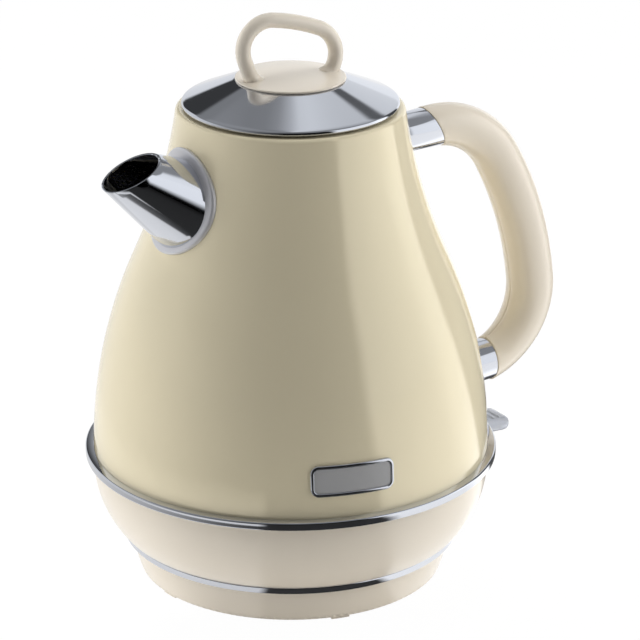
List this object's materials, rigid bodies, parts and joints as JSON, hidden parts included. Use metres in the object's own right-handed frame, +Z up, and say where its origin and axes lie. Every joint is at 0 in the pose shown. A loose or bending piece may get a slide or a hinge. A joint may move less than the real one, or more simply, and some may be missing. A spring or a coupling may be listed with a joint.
{
  "type": "electric kettle",
  "caption": "Pear-shaped cordless electric kettle on its power base, with a chrome cone spout, loop-handled lift-off lid, hooked grip and tilting switch.",
  "frame": {"origin": "on the kettle's upright axis at table level, under the middle of the power base", "axes": "+Z up, +X towards the grip and the switch, -X towards the spout"},
  "size_m": [0.2287, 0.18, 0.2515],
  "materials": {
    "cream_paint": "smooth gloss enamel on steel",
    "ivory_plastic": "satin moulded plastic",
    "chrome": "polished chrome plate",
    "steel": "plain stainless steel",
    "aluminium": "bare aluminium",
    "black_plastic": "black moulded plastic",
    "brass": "plain brass",
    "clear_plastic": "clear moulded plastic",
    "lamp_glass": "clear lamp",
    "silicone": "translucent silicone"
  },
  "bodies": {
    "base": {"base_housing": "ivory_plastic", "base_trim_ring": "chrome", "base_plate": "ivory_plastic", "base_feet": "ivory_plastic", "base_screws": "steel", "base_connector": "black_plastic", "connector_nut": "black_plastic", "base_contacts": "brass", "cord_outlet": "black_plastic"},
    "swivel": {"connector_guard_ring": "black_plastic"},
    "kettle": {"body_shell": "cream_paint", "heating_plate": "steel", "heat_spreader": "aluminium", "heating_element": "aluminium", "element_terminals": "brass", "control_unit": "black_plastic", "thermostat_disc": "steel", "kettle_connector": "black_plastic", "contact_pin": "brass", "contact_rings": "brass", "body_trim_ring": "chrome", "bottom_shell": "ivory_plastic", "bottom_cover": "ivory_plastic", "bottom_screws": "steel", "steam_tube": "ivory_plastic", "lever_bracket": "black_plastic", "pivot_pin": "steel", "indicator_lamp": "lamp_glass", "spout_tube": "chrome", "spout_flange": "chrome", "filter_frame": "black_plastic", "filter_mesh": "black_plastic", "handle_left": "ivory_plastic", "handle_right": "ivory_plastic", "handle_core": "steel", "handle_screws": "steel", "upper_ferrule": "chrome", "lower_ferrule": "chrome", "badge_frame": "chrome", "badge_plate": "aluminium"},
    "switch": {"switch_lever": "clear_plastic"},
    "lid": {"lid_cover": "chrome", "lid_handle": "ivory_plastic", "lid_inner": "steel", "lid_gasket": "silicone", "lid_screws": "steel"}
  },
  "joints": [
    {"name": "kettle_turn", "type": "hinge", "parent": "base", "child": "swivel", "pos_m": [0, 0, 0], "axis": [0, 0, 1], "continuous": true},
    {"name": "kettle_lift", "type": "slide", "parent": "swivel", "child": "kettle", "axis": [0, 0, 1], "range_m": [0, 0.1]},
    {"name": "switch_tilt", "type": "hinge", "parent": "kettle", "child": "switch", "pos_m": [0.075, 0, 0.0434], "axis": [0, 1, 0], "range_deg": [0, 10]},
    {"name": "lid_lift", "type": "slide", "parent": "kettle", "child": "lid", "axis": [0, 0, 1], "range_m": [0, 0.08]}
  ]
}
